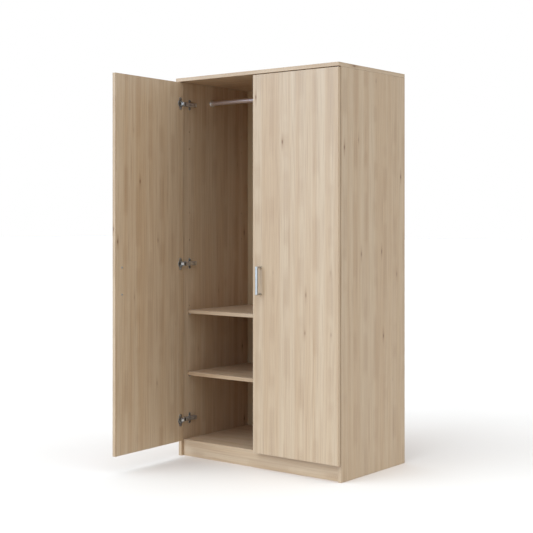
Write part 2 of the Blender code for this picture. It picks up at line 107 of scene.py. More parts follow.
# %% A helper that wires nodes
class Wiring:
    """A node tree with short ways to place nodes and join them."""

    def __init__(self, tree):
        self.tree = tree

    def feed(self, socket, value):
        if isinstance(value, bpy.types.NodeSocket):
            self.tree.links.new(value, socket)
        else:
            socket.default_value = value

    def place(self, kind, inputs=(), **settings):
        node = self.tree.nodes.new("ShaderNode" + kind)
        node.location = (180 * (len(self.tree.nodes) % 12), -240 * (len(self.tree.nodes) // 12))
        for name, value in settings.items():
            setattr(node, name, value)
        for name, value in dict(inputs).items():
            self.feed(node.inputs[name], value)
        return node

    def math(self, operation, *values):
        return self.place("Math", enumerate(values), operation=operation).outputs[0]

    def vector(self, x=0.0, y=0.0, z=0.0):
        return self.place("CombineXYZ", {"X": x, "Y": y, "Z": z}).outputs[0]

    def noise(self, x, y, z, detail=2.0, roughness=0.5):
        """Noise between 0 and 1. Its grain is one unit of x, y and z across."""
        inputs = {"Vector": self.vector(x, y, z), "Scale": 1.0, "Detail": detail}
        return self.place("TexNoise", {**inputs, "Roughness": roughness}).outputs[0]

    def ramp(self, value, low, high, start=0.0, end=1.0):
        """Goes smoothly from start to end while the value goes from low to high."""
        inputs = zip((0, 1, 2, 3, 4), (value, low, high, start, end))
        return self.place("MapRange", inputs, interpolation_type="SMOOTHSTEP").outputs[0]

    def mix(self, amount, first, second, blend="MIX"):
        settings = {"data_type": "RGBA", "blend_type": blend}
        return self.place("Mix", {0: amount, 6: first, 7: second}, **settings).outputs[2]


def colour(red, green, blue):
    """A colour given as on a paint chart, from 0 to 255, turned into the linear values of a socket."""
    parts = [part / 255 for part in (red, green, blue)]
    linear = [
        part / 12.92 if part <= 0.04045 else ((part + 0.055) / 1.055) ** 2.4 for part in parts
    ]
    return (*linear, 1.0)


def new_group(name, inputs, outputs):
    """An empty node group with named sockets, its wiring and its input sockets by name."""
    tree = bpy.data.node_groups.new(name, "ShaderNodeTree")
    for label, (kind, value) in inputs.items():
        socket = tree.interface.new_socket(label, in_out="INPUT", socket_type="NodeSocket" + kind)
        if value is not None:
            socket.default_value = value
    for label, kind in outputs.items():
        tree.interface.new_socket(label, in_out="OUTPUT", socket_type="NodeSocket" + kind)
    return Wiring(tree), tree.nodes.new("NodeGroupInput").outputs


def end_group(wiring, values):
    """Joins the results to the group's output sockets."""
    end = wiring.tree.nodes.new("NodeGroupOutput")
    for label, value in values.items():
        wiring.feed(end.inputs[label], value)
    print(f"group {wiring.tree.name} has {len(wiring.tree.nodes)} nodes")
    return wiring.tree


# %% [markdown]
# ## The woodgrain
#
# The board's pattern isn't wood but a print of wood, under a clear skin of melamine. Seen from across a
# room it is a set of soft upright bands, a few centimetres wide, some greyish and some pinkish. Closer
# there are fine lines, brown streaks a hand long, narrow columns of arches where a stave was cut across
# its rings, and now and then a small knot.
#
# One noise stretched along the board gives none of that, only streaks. So each feature is made by
# itself and laid over the last, the way a printer lays one ink over another. All of them use the same
# two coordinates in metres, `across` and `along` the grain, so a number such as 0.030 is a real width.

# %% Begin the grain group, and let the grain wander
grain, grain_in = new_group(
    "beech_print",
    {
        "Place": ("Vector", None),
        "Contrast": ("Float", 1.0),
        "Light": ("Color", colour(199, 163, 124)),
        "Pinkish": ("Color", colour(193, 154, 113)),
        "Brown": ("Color", colour(147, 102, 60)),
    },
    {"Colour": "Color", "Height": "Float", "Pores": "Float"},
)
place = grain.place("SeparateXYZ", {0: grain_in["Place"]}).outputs
straight, along = place[0], place[1]

SWAY = 0.012
sway = grain.noise(grain.math("MULTIPLY", straight, 5.0), grain.math("MULTIPLY", along, 1.1), 0.0)
sway = grain.math("MULTIPLY", grain.math("SUBTRACT", sway, 0.5), SWAY)
across = grain.math("ADD", straight, sway)

# %% [markdown]
# Knots come first, because the grain has to flow round them. A Voronoi texture scatters one point in
# each cell of a stretched grid. The distance from that point, measured back in metres, gives the knot,
# the streak that it leaves in the grain, and how far the lines beside it are pushed apart. Each cell
# has a random colour too, and that decides which cells have a knot at all, and how big it is.

# %% Scatter the knots
KNOT_CELL = (0.16, 0.52)
cell = grain.vector(
    grain.math("DIVIDE", across, KNOT_CELL[0]), grain.math("DIVIDE", along, KNOT_CELL[1])
)
scatter = grain.place("TexVoronoi", {"Vector": cell, "Scale": 1.0}, voronoi_dimensions="2D")
away = grain.place("VectorMath", {0: cell, 1: scatter.outputs["Position"]}, operation="SUBTRACT")
away = grain.place("SeparateXYZ", {0: away.outputs[0]}).outputs
away_across = grain.math("MULTIPLY", away[0], KNOT_CELL[0])
away_along = grain.math("MULTIPLY", away[1], KNOT_CELL[1])
chance = grain.place("SeparateColor", {0: scatter.outputs["Color"]}).outputs
knot_size = grain.ramp(chance[0], 0.35, 1.0, 0.0, 1.0)


def knot_distance(wide, tall):
    """How far off the knot's middle is, in ellipses of that half width and height."""
    flat = grain.math("POWER", grain.math("DIVIDE", away_across, wide), 2.0)
    upright = grain.math("POWER", grain.math("DIVIDE", away_along, tall), 2.0)
    return grain.math("SQRT", grain.math("ADD", flat, upright))


knot_heart = grain.ramp(knot_distance(0.0055, 0.0120), 0.2, 1.3, 1.0, 0.0)
knot_streak = grain.ramp(knot_distance(0.0095, 0.050), 0.1, 1.2, 1.0, 0.0)
pushed = grain.ramp(knot_distance(0.030, 0.070), 0.0, 1.0, -0.45, 0.0)
pushed = grain.math("MULTIPLY", grain.math("MULTIPLY", pushed, away_across), knot_size)
across = grain.math("ADD", across, pushed)

# %% [markdown]
# The bands are noise that changes quickly across the board and hardly at all along it. Two of them are
# needed: one turns the tone from greyish to pinkish, the other makes it lighter or darker. The edge of
# a band is firmer than plain noise gives, so each passes through a ramp.

# %% Bands, streaks and fine lines
BAND = 0.030
STREAK = 0.009
tone = grain.noise(grain.math("DIVIDE", across, BAND), grain.math("MULTIPLY", along, 0.30), 3.1)
tone = grain.ramp(tone, 0.36, 0.64)
depth = grain.noise(
    grain.math("DIVIDE", across, 1.7 * BAND), grain.math("MULTIPLY", along, 0.42), 8.7, 3.0
)
depth = grain.ramp(depth, 0.30, 0.72)
streak = grain.noise(
    grain.math("DIVIDE", across, STREAK), grain.math("MULTIPLY", along, 2.6), 5.3, 3.0
)
streak = grain.ramp(streak, 0.56, 0.82)
lines = grain.noise(
    grain.math("DIVIDE", across, 0.0042), grain.math("MULTIPLY", along, 3.0), 1.9, 4.0, 0.66
)
pores = grain.noise(
    grain.math("DIVIDE", across, 0.0007), grain.math("MULTIPLY", along, 60.0), 6.4, 2.0
)
pores = grain.ramp(pores, 0.60, 0.74)

# %% [markdown]
# The arches are curves along / across: `along + k * offset²` is the same value all along one parabola,
# so a sine of it draws a stack of arches. They belong in narrow columns only, and each column fades in
# and out along the board. A little noise in the sum keeps the arches from looking drawn with a compass.

# %% Columns of arches
COLUMN = 0.085
ARCH_PITCH = 0.0115
ARCH_BEND = 105.0
RIPPLE_WIDE, RIPPLE_LONG = 0.012, 0.03
RIPPLE_SHIFT = 0.011
COLUMN_STEP = 7.7
FADE_LONG = 0.22
column_place = grain.math("ADD", grain.math("DIVIDE", across, COLUMN), 0.37)
column_number = grain.math("FLOOR", column_place)
offset = grain.math("SUBTRACT", grain.math("FRACT", column_place), 0.5)
offset = grain.math("MULTIPLY", offset, COLUMN)
bend = grain.math("MULTIPLY", grain.math("POWER", grain.math("ABSOLUTE", offset), 2.0), ARCH_BEND)
ripple_across = grain.math("DIVIDE", across, RIPPLE_WIDE)
ripple = grain.noise(ripple_across, grain.math("DIVIDE", along, RIPPLE_LONG), 4.4)
ripple = grain.math("MULTIPLY", ripple, RIPPLE_SHIFT)
arch = grain.math("ADD", grain.math("ADD", along, bend), ripple)
arch = grain.math("SINE", grain.math("MULTIPLY", arch, math.tau / ARCH_PITCH))
arch = grain.ramp(arch, -0.2, 0.95)
fade_across = grain.math("MULTIPLY", column_number, COLUMN_STEP)
column_fade = grain.noise(fade_across, grain.math("DIVIDE", along, FADE_LONG), 2.2)
arch_area = grain.math(
    "MULTIPLY",
    grain.ramp(grain.math("ABSOLUTE", offset), 0.010, 0.024, 1.0, 0.0),
    grain.ramp(column_fade, 0.44, 0.58),
)
arches = grain.math("MULTIPLY", arch, arch_area)

# %% [markdown]
# Now the inks are laid over each other, from the palest to the darkest. The contrast input weakens or
# strengthens all of them at once, so the same group can print a bold door and a faint back sheet.

# %% Lay the inks and end the grain group
strength = grain_in["Contrast"]
ink = grain.mix(tone, grain_in["Light"], grain_in["Pinkish"])
for mask, amount in (
    (depth, 0.09),
    (streak, 0.42),
    (grain.ramp(lines, 0.42, 0.68), 0.32),
    (arches, 0.50),
    (pores, 0.20),
    (grain.math("MULTIPLY", knot_streak, knot_size), 0.50),
):
    amount = grain.math("MULTIPLY", grain.math("MULTIPLY", mask, amount), strength)
    ink = grain.mix(amount, ink, grain_in["Brown"])
heart = grain.math("MULTIPLY", grain.math("MULTIPLY", knot_heart, knot_size), 0.85)
ink = grain.mix(heart, ink, colour(116, 76, 42))
relief = grain.math("ADD", grain.math("MULTIPLY", lines, 0.5), grain.math("MULTIPLY", pores, -0.5))
beech_print = end_group(grain, {"Colour": ink, "Height": relief, "Pores": pores})

# %% [markdown]
# ## Signs of use
#
# Even a new wardrobe isn't evenly clean. Hands leave broad dull patches, packing leaves hairline
# scratches, and dust settles in a thin veil. This group gives two masks, patches and scratches, that the
# printed and metal finishes use with their own values, so that the whole object looks handled by the same
# people.

# %% The group for handling marks
marks, marks_in = new_group(
    "handling_marks",
    {"Place": ("Vector", None), "Patch size": ("Float", 0.09), "Scratch size": ("Float", 0.0012)},
    {"Patches": "Float", "Scratches": "Float"},
)
spot = marks.place("SeparateXYZ", {0: marks_in["Place"]}).outputs
patch = [marks.math("DIVIDE", part, marks_in["Patch size"]) for part in spot]
patches = marks.ramp(marks.noise(*patch, 4.0, 0.6), 0.35, 0.75)
scratch_across = marks.math("DIVIDE", marks.math("ADD", spot[0], spot[2]), marks_in["Scratch size"])
scratch_along = marks.math("DIVIDE", spot[1], marks.math("MULTIPLY", marks_in["Scratch size"], 40.0))
scratches = marks.ramp(marks.noise(scratch_across, scratch_along, 0.0, 3.0), 0.66, 0.78)
handling_marks = end_group(marks, {"Patches": patches, "Scratches": scratches})

# %% [markdown]
# ## Finishes for the boards
#
# The print needs to know where on the board it is. Each board carries a UV map named `grain`, in
# metres, that is cut from one endless sheet of decor at its own place, as the factory does it. So one
# material serves every board, and no two boards are alike.

# %% A new finish, and the printed board
def new_finish(name, base, roughness, metallic=0.0):
    """A material with its wiring and its shader. Even values sit on the shader's own sockets."""
    material = bpy.data.materials.new(name)
    material.use_nodes = True
    shader = material.node_tree.nodes["Principled BSDF"]
    shader.inputs["Base Color"].default_value = base
    shader.inputs["Roughness"].default_value = roughness
    shader.inputs["Metallic"].default_value = metallic
    return material, Wiring(material.node_tree), shader


def add_bump(wiring, shader, height, distance):
    """Feeds a height in metres times the distance into the shader's normal."""
    bump = wiring.place("Bump", {"Height": height, "Distance": distance, "Strength": 1.0})
    wiring.feed(shader.inputs["Normal"], bump.outputs[0])


def printed(name, roughness, **inks):
    """A finish with the beech print under a clear skin."""
    material, wiring, shader = new_finish(name, colour(209, 175, 132), roughness)
    place = wiring.place("UVMap", uv_map="grain").outputs[0]
    sheet = wiring.place("Group", node_tree=beech_print)
    used = wiring.place("Group", node_tree=handling_marks)
    wiring.feed(sheet.inputs["Place"], place)
    wiring.feed(used.inputs["Place"], place)
    for label, value in inks.items():
        wiring.feed(sheet.inputs[label], value)
    duller = wiring.math("MULTIPLY", used.outputs["Patches"], 0.10)
    rough = wiring.math("ADD", wiring.math("MULTIPLY", sheet.outputs["Pores"], 0.12), duller)
    wiring.feed(shader.inputs["Roughness"], wiring.math("ADD", rough, roughness))
    wiring.feed(shader.inputs["Base Color"], sheet.outputs["Colour"])
    add_bump(wiring, shader, sheet.outputs["Height"], 0.00012)
    return material


BEECH = printed("printed_beech", 0.42)
print("board finish:", BEECH.name)

# %% [markdown]
# Where a drill has gone through the skin, the board shows what it is made of: pressed wood chips, pale
# brown and crumbly. The line of glue behind the edging is a shade darker than the print. Both are
# small, and both are what a real board has and a plain box lacks.

# %% Chipboard, glue line and hardboard
def chips(name, light, dark, size, roughness, distance):
    """Pressed chips or fibres, from a Voronoi pattern broken up by noise."""
    material, wiring, shader = new_finish(name, light, roughness)
    place = wiring.place("TexCoord").outputs["Object"]
    cells = wiring.place("TexVoronoi", {"Vector": place, "Scale": 1 / size})
    fine = wiring.place("TexNoise", {"Vector": place, "Scale": 3 / size, "Detail": 3.0})
    flake = wiring.math("MULTIPLY", cells.outputs["Distance"], fine.outputs[0])
    wiring.feed(shader.inputs["Base Color"], wiring.mix(wiring.ramp(flake, 0.1, 0.5), light, dark))
    add_bump(wiring, shader, flake, distance)
    return material


CHIPBOARD = chips("bored_chipboard", colour(150, 118, 84), colour(92, 66, 42), 0.002, 0.9, 0.0004)
GLUE_LINE = chips("glue_line", colour(150, 122, 92), colour(128, 100, 72), 0.001, 0.7, 0.0001)
HARDBOARD = chips("hardboard_rear", colour(150, 112, 78), colour(118, 84, 56), 0.0016, 0.85, 0.0002)
BACK_PRINT = printed(
    "back_sheet_print",
    0.55,
    Contrast=0.7,
    Light=colour(190, 155, 111),
    Pinkish=colour(183, 146, 103),
)
print("made", CHIPBOARD.name, GLUE_LINE.name, HARDBOARD.name, BACK_PRINT.name)

# %% [markdown]
# ## Finishes for the metal
#
# Metal is told by what it reflects and how sharply. The hinges are nickel-plated pressings, a little
# uneven and warm. The handles are brushed: their scratches all run one way, so their roughness changes
# in long thin lines. The rail is chromed tube, smooth and grey.

# %% Nickel, satin metal, chrome
def metal(name, base, roughness, stretch, patch_size=0.02, depth=0.00003):
    """A metal whose fine lines are stretched along one axis, with handling marks in its gloss."""
    material, wiring, shader = new_finish(name, base, roughness, 1.0)
    place = wiring.place("TexCoord").outputs["Object"]
    size = wiring.place("VectorMath", {0: place, 1: stretch}, operation="MULTIPLY").outputs[0]
    lines = wiring.place("TexNoise", {"Vector": size, "Scale": 1.0, "Detail": 4.0}).outputs[0]
    used = wiring.place("Group", {"Place": place, "Patch size": patch_size}, node_tree=handling_marks)
    rough = wiring.ramp(lines, 0.3, 0.7, roughness - 0.06, roughness + 0.08)
    rough = wiring.math("ADD", rough, wiring.math("MULTIPLY", used.outputs["Patches"], 0.10))
    wiring.feed(shader.inputs["Roughness"], rough)
    dull = tuple(0.82 * part for part in base[:3]) + (1.0,)
    tint = wiring.math("MULTIPLY", used.outputs["Patches"], 0.5)
    wiring.feed(shader.inputs["Base Color"], wiring.mix(tint, base, dull))
    if depth:
        height = wiring.math("SUBTRACT", lines, used.outputs["Scratches"])
        add_bump(wiring, shader, height, depth)
    return material


NICKEL = metal("hinge_nickel", colour(194, 188, 178), 0.30, (300.0, 300.0, 300.0))
ZINC = metal("screw_zinc", colour(178, 176, 170), 0.38, (500.0, 500.0, 500.0))
SATIN = metal("satin_handle", colour(186, 184, 176), 0.36, (3000.0, 3000.0, 60.0), 0.03, 0.00001)
CHROME = metal("chromed_tube", colour(232, 218, 212), 0.36, (20.0, 400.0, 400.0), 0.10, 0.0)
PLATED = metal("plated_steel", colour(222, 217, 208), 0.38, (300.0, 300.0, 300.0))
# The near-black metal is painted shade: it colours the rings round the plate screws dark, standing for
# the shadow round each head.
PAINTED_SHADE_METAL = metal("painted_shade_dark", colour(58, 52, 46), 0.55, (400.0, 400.0, 400.0))
print("metals:", [made.name for made in (NICKEL, PLATED, ZINC, SATIN, CHROME, PAINTED_SHADE_METAL)])

# %% [markdown]
# ## One good board
#
# A board is a box, but not a plain one. Its two broad faces are printed, and its narrow sides wear a
# strip of edging that is glued on and then rounded over with a small cutter. From the front that strip
# shows as a thin frame, with a hairline of glue inside it.
#
# The frame comes from insetting each broad face twice, first by the strip's thickness and then by the
# glue line's. Rounding comes last, on the twelve outer edges only. Then each face gets its place on the
# decor sheet, with the grain along the board, or along the strip at the board's ends.

# %% Make a board
EDGING = 0.0018
GLUE = 0.00025
ROUNDING = 0.0009
EDGE_SHIFT = 0.61


def decor_axes(normal, size, grain_axis):
    """Which axis runs across the grain on a face, which runs along it, and which the face looks along."""
    looks = max(range(3), key=lambda axis: abs(normal[axis]))
    others = [axis for axis in range(3) if axis != looks]
    if grain_axis in others:
        along_axis = grain_axis
    else:
        along_axis = max(others, key=lambda axis: size[axis])
    others.remove(along_axis)
    return others[0], along_axis, looks


def lay_decor(shape, size, grain_axis, cut_from, thin):
    """Gives each face its place on the decor sheet. Edging is cut from another part of the sheet."""
    layer = shape.loops.layers.uv.new("grain")
    for face in shape.faces:
        across_axis, along_axis, looks = decor_axes(face.normal, size, grain_axis)
        shift = 0.0 if looks == thin else EDGE_SHIFT * (1 + looks)
        for loop in face.loops:
            point = loop.vert.co
            loop[layer].uv = (
                point[across_axis] + cut_from[0] + shift,
                point[along_axis] + cut_from[1] + 2 * shift,
            )


def board_mesh(name, low, high, grain_axis, cut_from, finishes=None):
    """A board between two corners, with edging, a glue line and rounded edges."""
    low, high = Vector(low), Vector(high)
    size = high - low
    thin = min(range(3), key=lambda axis: size[axis])
    shape = bmesh.new()
    place = Matrix.Translation((low + high) / 2) @ Matrix.Diagonal((*size, 1.0))
    bmesh.ops.create_cube(shape, size=1.0, matrix=place)
    shape.normal_update()
    outer_edges = list(shape.edges)
    broad = [face for face in shape.faces if abs(face.normal[thin]) > 0.5]
    for width, finish in ((EDGING, 0), (GLUE, 1)):
        frame_faces = bmesh.ops.inset_region(shape, faces=broad, thickness=width, use_even_offset=True)
        for face in frame_faces["faces"]:
            face.material_index = finish
    bmesh.ops.bevel(
        shape, geom=outer_edges, offset=ROUNDING, segments=3, profile=0.5, affect="EDGES"
    )
    shape.normal_update()
    lay_decor(shape, size, grain_axis, cut_from, thin)
    mesh = bpy.data.meshes.new(name)
    shape.to_mesh(mesh)
    shape.free()
    for finish in finishes or (BEECH, GLUE_LINE):
        mesh.materials.append(finish)
    return mesh


# %% [markdown]
# Boards are drilled and grooved, and a Boolean does in the computer what the drill does in the
# workshop: one closed shape taken out of another. The drills are gathered in one mesh first, so each
# board is cut once. The walls of the cut take the drill's material, here raw chipboard.

# %% Drills, grooves and the cut
def turn_to(direction):
    """The rotation that takes +Z to a direction."""
    return Vector((0, 0, 1)).rotation_difference(Vector(direction)).to_matrix().to_4x4()


def tool_mesh(name, bores=(), blocks=(), finish=CHIPBOARD, steps=24):
    """One mesh of drills, each (middle, direction, radius, length), and of blocks between corners."""
    shape = bmesh.new()
    for middle, direction, radius, length in bores:
        place = Matrix.Translation(middle) @ turn_to(direction)
        bmesh.ops.create_cone(
            shape,
            cap_ends=True,
            segments=steps,
            radius1=radius,
            radius2=radius,
            depth=length,
            matrix=place,
        )
    for low, high in blocks:
        low, high = Vector(low), Vector(high)
        place = Matrix.Translation((low + high) / 2) @ Matrix.Diagonal((*(high - low), 1.0))
        bmesh.ops.create_cube(shape, size=1.0, matrix=place)
    mesh = bpy.data.meshes.new(name)
    shape.to_mesh(mesh)
    shape.free()
    mesh.materials.append(finish)
    return mesh


def cut(mesh, tool):
    """What is left of a mesh when a tool is taken out of it."""
    pair = [bpy.data.objects.new("cutting", one) for one in (mesh, tool)]
    for one in pair:
        bpy.context.scene.collection.objects.link(one)
    change = pair[0].modifiers.new("cut", "BOOLEAN")
    change.object = pair[1]
    change.material_mode = "TRANSFER"
    graph = bpy.context.evaluated_depsgraph_get()
    result = bpy.data.meshes.new_from_object(
        pair[0].evaluated_get(graph), preserve_all_data_layers=True, depsgraph=graph
    )
    for one in pair:
        bpy.data.objects.remove(one)
    result.name = mesh.name
    return result


def dress(name, mesh, body, slot, *nodes):
    """Puts a mesh in the scene as a piece that rides on a body and stands for its plain solids."""
    piece = bpy.data.objects.new(name, mesh)
    bpy.context.scene.collection.objects.link(piece)
    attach(piece, body)
    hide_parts(*nodes)
    return piece


# %% [markdown]
# ## The cabinet
#
# Two sides stand on the floor, the top lies on them, and the bottom and the plinth sit between them.
# Each side is drilled on its inner face: for the shelf pins, and at a few more heights where a shelf
# could go instead. A groove all round holds the back sheet. It is cut with the sheet's own box, made a
# little thicker, which is also how a joiner would think of it.

# %% Side boards
CLEAR = 0.0003
HOLE_RADIUS = 0.0026
HOLE_DEPTH = 0.011
SPARE_HOLE_HEIGHTS = (1.643, 1.556, 1.230, 1.092, 0.757)
sheet_low, sheet_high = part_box("back_panel")
groove = (sheet_low - Vector((CLEAR,) * 3), sheet_high + Vector((CLEAR,) * 3))


def pin_middle(row, line, side):
    low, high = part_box(f"shelf_pin_{row}_{line}_{side}")
    return (low + high) / 2


def side_holes(side, inner_face):
    """Drills for the pins that are used and for those that aren't, in two upright lines."""
    used = [pin_middle(row, line, side) for row in ("upper", "lower") for line in ("front", "rear")]
    spare = [(0.0, used[line].y, height) for line in (0, 1) for height in SPARE_HOLE_HEIGHTS]
    heights = [(place[1], place[2]) for place in used + spare]
    return [((inner_face, y, z), (1, 0, 0), HOLE_RADIUS, 2 * HOLE_DEPTH) for y, z in heights]


for side, cut_from in (("left", (2.31, 0.4)), ("right", (4.07, 0.9))):
    low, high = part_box("side_panel_" + side)
    inner_face = high.x if side == "left" else low.x
    holes = side_holes(side, inner_face)
    slot_down = (Vector((groove[0].x, groove[0].y, -CLEAR)), groove[1])
    drills = tool_mesh("drills_" + side, holes, [slot_down], steps=16)
    mesh = cut(board_mesh("side_board_" + side, low, high, 2, cut_from), drills)
    dress("side_board_" + side, mesh, "carcass", "beech_board", "side_panel_" + side)
    print(f"{side} side: {len(holes)} holes, {len(mesh.polygons)} faces")

# %% [markdown]
# The lying boards have their grain from side to side, so that their long front edge shows it along its
# length. The plinth does too. The shelves are loose: nothing is cut in them.

# %% Top, bottom, plinth and shelves
LYING = {
    "top_panel": ((0.2, 7.7), True),
    "bottom_panel": ((1.3, 9.1), True),
    "plinth_front": ((3.9, 5.3), False),
    "plinth_rear": ((5.2, 6.6), False),
    "shelf_upper": ((6.1, 3.2), False),
    "shelf_lower": ((7.4, 4.6), False),
}
for node, (cut_from, grooved) in LYING.items():
    low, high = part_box(node)
    name = node.removesuffix("_panel") + "_board"
    mesh = board_mesh(name, low, high, 0, cut_from)
    if grooved:
        mesh = cut(mesh, tool_mesh("groove_" + node, blocks=[groove]))
    dress(name, mesh, "carcass", "beech_board", node)
low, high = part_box("plinth_centre_rail")
mesh = board_mesh("plinth_centre_board", low, high, 1, (8.8, 2.4))
dress(mesh.name, mesh, "carcass", "beech_board", "plinth_centre_rail")
print("lying boards:", len(LYING) + 1)

# %% [markdown]
# The back is a thin hardboard sheet, printed on the side that shows and bare brown fibre behind. It
# needs no edging, so it is a thin box with its rear face given the other finish.

# %% Back sheet
def sheet_mesh(name, low, high, cut_from):
    """A thin upright sheet with a printed front and a bare rear."""
    shape = bmesh.new()
    size = high - low
    place = Matrix.Translation((low + high) / 2) @ Matrix.Diagonal((*size, 1.0))
    bmesh.ops.create_cube(shape, size=1.0, matrix=place)
    shape.normal_update()
    for face in shape.faces:
        face.material_index = 0 if face.normal.y < -0.5 else 1
    bmesh.ops.bevel(
        shape, geom=list(shape.edges), offset=0.0003, segments=1, profile=0.5, affect="EDGES"
    )
    shape.normal_update()
    lay_decor(shape, size, 2, cut_from, 1)
    mesh = bpy.data.meshes.new(name)
    shape.to_mesh(mesh)
    shape.free()
    mesh.materials.append(BACK_PRINT)
    mesh.materials.append(HARDBOARD)
    return mesh


mesh = sheet_mesh("back_sheet", sheet_low, sheet_high, (9.6, 1.5))
dress("back_sheet", mesh, "carcass", "back_sheet", "back_panel")
print("back sheet", [round(part, 3) for part in sheet_high - sheet_low])

# %% [markdown]
# ## Turned and pressed metal
#
# Small metal pieces come from two machines. A lathe turns a profile about an axis, and a press cuts a
# flat outline and rounds its rim. Two functions stand for them, and a third joins what they make into
# one piece. Corners of an outline are rounded with true arcs, because a press tool has no sharp ones.

# %% Lathe, press and joining
SMOOTH_UNDER = math.radians(32)


def lathe(profile, finish, steps=48):
    """Turns (radius, height) points about Z. Shallow steps are shaded as one smooth surface."""
    shape = bmesh.new()
    spots = [shape.verts.new((radius, 0.0, height)) for radius, height in profile]
    line = [shape.edges.new(pair) for pair in zip(spots, spots[1:])]
    bmesh.ops.spin(
        shape, geom=spots + line, axis=(0, 0, 1), cent=(0, 0, 0), steps=steps, angle=math.tau
    )
    bmesh.ops.remove_doubles(shape, verts=shape.verts, dist=0.000002)
    bmesh.ops.recalc_face_normals(shape, faces=shape.faces)
    mesh = bpy.data.meshes.new("turned")
    shape.to_mesh(mesh)
    shape.free()
    mesh.shade_smooth()
    mesh.set_sharp_from_angle(angle=SMOOTH_UNDER)
    mesh.materials.append(finish)
    return mesh


def press(outline, thickness, finish, rim=0.0, segments=2):
    """A flat outline given its thickness, with both its rims rounded."""
    shape = bmesh.new()
    face = shape.faces.new([shape.verts.new((x, y, -thickness / 2)) for x, y in outline])
    lifted = bmesh.ops.extrude_face_region(shape, geom=[face])["geom"]
    lifted = [one for one in lifted if isinstance(one, bmesh.types.BMVert)]
    bmesh.ops.translate(shape, verts=lifted, vec=(0, 0, thickness))
    bmesh.ops.recalc_face_normals(shape, faces=shape.faces)
    if rim:
        rims = [edge for edge in shape.edges if abs(edge.verts[0].co.z - edge.verts[1].co.z) < rim]
        bmesh.ops.bevel(
            shape, geom=rims, offset=rim, segments=segments, profile=0.5, affect="EDGES"
        )
    mesh = bpy.data.meshes.new("pressed")
    shape.to_mesh(mesh)
    shape.free()
    mesh.materials.append(finish)
    return mesh


def rounded(corners, radii, steps=5):
    """Rounds each corner of an outline with an arc of its own radius."""
    outline = []
    for index, (corner, radius) in enumerate(zip(corners, radii)):
        corner = Vector(corner)
        to_last = (Vector(corners[index - 1]) - corner).normalized()
        to_next = (Vector(corners[(index + 1) % len(corners)]) - corner).normalized()
        half = to_last.angle(to_next) / 2
        middle = corner + (to_last + to_next).normalized() * radius / math.sin(half)
        first = corner + to_last * radius / math.tan(half) - middle
        last = corner + to_next * radius / math.tan(half) - middle
        turns = [first.slerp(last, step / steps) for step in range(steps + 1)]
        outline += [middle + radius * turn.normalized() for turn in turns]
    return outline


def rectangle(wide, tall, radius):
    """A rectangle about its middle, with rounded corners."""
    x, y = wide / 2, tall / 2
    return rounded([(-x, -y), (x, -y), (x, y), (-x, y)], [radius] * 4)


def joined(name, *parts):
    """One mesh from several, each given with its place. Each part keeps its finish."""
    shape = bmesh.new()
    finishes = []
    for mesh, place in parts:
        copy = mesh.copy()
        copy.transform(place)
        if place.determinant() < 0:
            copy.flip_normals()
        for finish in copy.materials:
            if finish not in finishes:
                finishes.append(finish)
        order = [finishes.index(finish) for finish in copy.materials]
        for polygon in copy.polygons:
            polygon.material_index = order[polygon.material_index]
        shape.from_mesh(copy)
        bpy.data.meshes.remove(copy)
    mesh = bpy.data.meshes.new(name)
    shape.to_mesh(mesh)
    shape.free()
    for finish in finishes:
        mesh.materials.append(finish)
    return mesh


def at(place, direction=(0, 0, 1)):
    """The place of a part whose own +Z is to look in that direction."""
    return Matrix.Translation(place) @ turn_to(direction)


# %% [markdown]
# ## Screws
#
# One screw head is enough for the whole wardrobe, in several sizes: a low dome with a cross cut in it.
# At arm's length a screw is told by that dark cross, so it is really cut and not painted on.

# %% A cross-recess screw head
def screw_head(radius, height, finish=ZINC):
    """A domed head that stands on z = 0, with a cross recess."""
    dome = [(0.0, height)]
    dome += [
        (radius * math.sin(turn), height * (0.35 + 0.65 * math.cos(turn)))
        for turn in [math.radians(15 * step) for step in range(1, 7)]
    ]
    dome += [(radius, 0.0), (0.0, 0.0)]
    arm, half = 0.58 * radius, 0.13 * radius
    quarter = [(arm, -half), (arm, half), (half, half)]
    outline = [
        Matrix.Rotation(math.radians(90 * turn), 2) @ Vector(corner)
        for turn in range(4)
        for corner in quarter
    ]
    cross = press(outline, 2 * height, finish)
    cross.transform(Matrix.Translation((0, 0, 1.3 * height)))
    return cut(lathe(dome, finish, 32), cross)


SMALL_HEAD = screw_head(0.0036, 0.0016)
PLATE_HEAD = screw_head(0.0042, 0.0018)
HANDLE_HEAD = screw_head(0.0045, 0.0022)
print("screw head faces:", len(SMALL_HEAD.polygons))

# %% [markdown]
# ## Shelf pins and the hanging rail
#
# Each shelf rests on four turned pins. The pin has a straight shank in the side's hole and a thicker
# round head that carries the board. The rail is a thin chromed tube between two cups that are screwed
# to the sides. All of them are lathe work.

# %% Shelf pins
def pin_profile(shank, head):
    """A pin along +Z, with its shank below zero and its head above."""
    radius, chamfer = 0.004, 0.0006
    return [
        (0.0, head),
        (radius - chamfer, head),
        (radius, head - chamfer),
        (radius, CLEAR + chamfer / 2),
        (radius - chamfer / 2, CLEAR),
        (0.0024, CLEAR),
        (0.0024, chamfer - shank),
        (0.0018, -shank),
        (0.0, -shank),
    ]


for side, towards in (("left", 1), ("right", -1)):
    side_low, side_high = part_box("side_panel_" + side)
    inner_face = side_high.x if side == "left" else side_low.x
    for row in ("upper", "lower"):
        for line in ("front", "rear"):
            node = f"shelf_pin_{row}_{line}_{side}"
            low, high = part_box(node)
            ends = sorted(abs(x - inner_face) for x in (low.x, high.x))
            middle = pin_middle(row, line, side)
            turned_pin = lathe(pin_profile(ends[0], ends[1]), NICKEL, 32)
            place = at((inner_face, middle.y, middle.z), (towards, 0, 0))
            mesh = joined(node + "_turned", (turned_pin, place))
            dress(mesh.name, mesh, "carcass", "hinge_steel", node)
print("shelf pins: 8")

